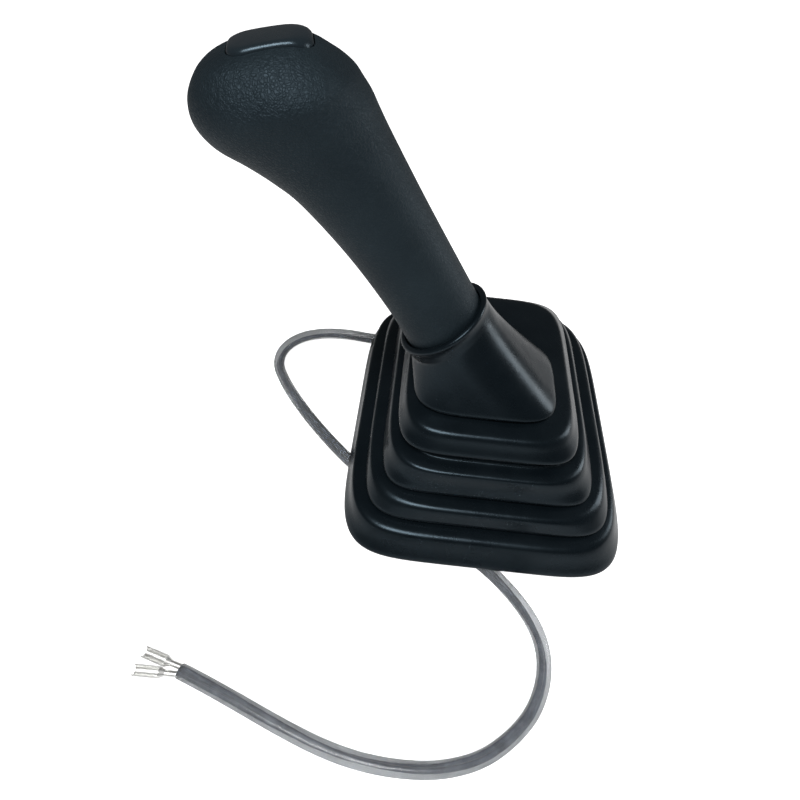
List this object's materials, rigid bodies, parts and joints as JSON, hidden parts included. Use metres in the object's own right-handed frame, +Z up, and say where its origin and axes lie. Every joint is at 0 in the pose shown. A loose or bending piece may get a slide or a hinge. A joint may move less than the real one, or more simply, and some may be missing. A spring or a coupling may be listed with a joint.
{
  "type": "control lever joystick",
  "caption": "Two-axis control lever: bent grip with a thumb button and leaning collar, square bellows boot over a self-centring gimbal base, button lead with bare terminals.",
  "frame": {"origin": "centre of the four base bolts, on the bottom face of the mounting pan", "axes": "+Z up, out of the panel; at rest the lever leans toward -X; the long side of the boot runs along Y and its middle lies toward +Y"},
  "size_m": [0.2114, 0.2608, 0.2018],
  "materials": {
    "black_steel": "black, semi-matt",
    "alloy": "machined",
    "cap_steel": "black oxide",
    "bronze": "turned",
    "steel": "turned",
    "grip_skin": "fine leather grain",
    "boot_rubber": "satin",
    "black_plastic": "fine grain",
    "switch_red": "glossy",
    "tinned": "tinned",
    "sheath": "clear, slightly smoky",
    "cores": "glossy"
  },
  "bodies": {
    "base": {"mounting_pan": "black_steel", "guide_block": "alloy", "block_screws": "cap_steel", "guide_bushes": "bronze", "base_yoke": "steel", "boot": "boot_rubber", "lead_gland": "boot_rubber", "inner_lead": "cores", "lead_sheath": "sheath", "terminal_a": "tinned", "terminal_b": "tinned", "spring_right": "steel", "spring_left": "steel", "spring_front": "steel", "spring_rear": "steel"},
    "gimbal": {"joint_cross": "steel"},
    "lever": {"lever_yoke": "steel", "swash_disc": "steel", "lock_nut": "steel", "lever_tube": "black_steel", "grip_nut": "steel", "grip_core": "black_plastic", "grip": "grip_skin", "switch_holder": "black_plastic", "switch_body": "black_plastic", "switch_blades": "bronze", "switch_screws": "steel", "lever_lead": "cores", "button_spring": "steel"},
    "button": {"horn_button": "black_plastic"},
    "pin": {"switch_pin": "switch_red"},
    "plunger_right_body": {"plunger_right": "steel"},
    "plunger_left_body": {"plunger_left": "steel"},
    "plunger_front_body": {"plunger_front": "steel"},
    "plunger_rear_body": {"plunger_rear": "steel"}
  },
  "joints": [
    {"name": "fore_tilt", "type": "hinge", "parent": "base", "child": "gimbal", "pos_m": [0, 0, 0.017], "axis": [0, 1, 0], "range_deg": [-13, 13], "stiffness_Nm_per_rad": 4, "springref_deg": 2.29, "deforming": ["boot", "inner_lead"]},
    {"name": "side_tilt", "type": "hinge", "parent": "gimbal", "child": "lever", "pos_m": [0, 0, 0.017], "axis": [1, 0, 0], "range_deg": [-13, 13], "stiffness_Nm_per_rad": 4, "deforming": ["boot", "inner_lead"]},
    {"name": "button_press", "type": "slide", "parent": "lever", "child": "button", "axis": [0.1822, 0, -0.9833], "range_m": [0, 0.0015], "stiffness_N_per_m": 1500, "springref_m": -0.001, "deforming": ["button_spring"]},
    {"name": "pin_travel", "type": "slide", "parent": "lever", "child": "pin", "axis": [0.1822, 0, -0.9833], "range_m": [0, 0.0015]},
    {"name": "plunger_right_travel", "type": "slide", "parent": "base", "child": "plunger_right_body", "axis": [0, 0, 1], "range_m": [-0.0048, 0.0048], "deforming": ["spring_right"]},
    {"name": "plunger_left_travel", "type": "slide", "parent": "base", "child": "plunger_left_body", "axis": [0, 0, 1], "range_m": [-0.0048, 0.0048], "deforming": ["spring_left"]},
    {"name": "plunger_front_travel", "type": "slide", "parent": "base", "child": "plunger_front_body", "axis": [0, 0, 1], "range_m": [-0.0048, 0.0048], "deforming": ["spring_front"]},
    {"name": "plunger_rear_travel", "type": "slide", "parent": "base", "child": "plunger_rear_body", "axis": [0, 0, 1], "range_m": [-0.0048, 0.0048], "deforming": ["spring_rear"]}
  ],
  "couplings": [
    {"joint": "pin_travel", "follows": "button_press", "ratio": 1},
    {"joint": "plunger_right_travel", "follows": "fore_tilt", "m_per_rad": -0.0205},
    {"joint": "plunger_left_travel", "follows": "fore_tilt", "m_per_rad": 0.0205},
    {"joint": "plunger_rear_travel", "follows": "side_tilt", "m_per_rad": 0.0205},
    {"joint": "plunger_front_travel", "follows": "side_tilt", "m_per_rad": -0.0205}
  ]
}
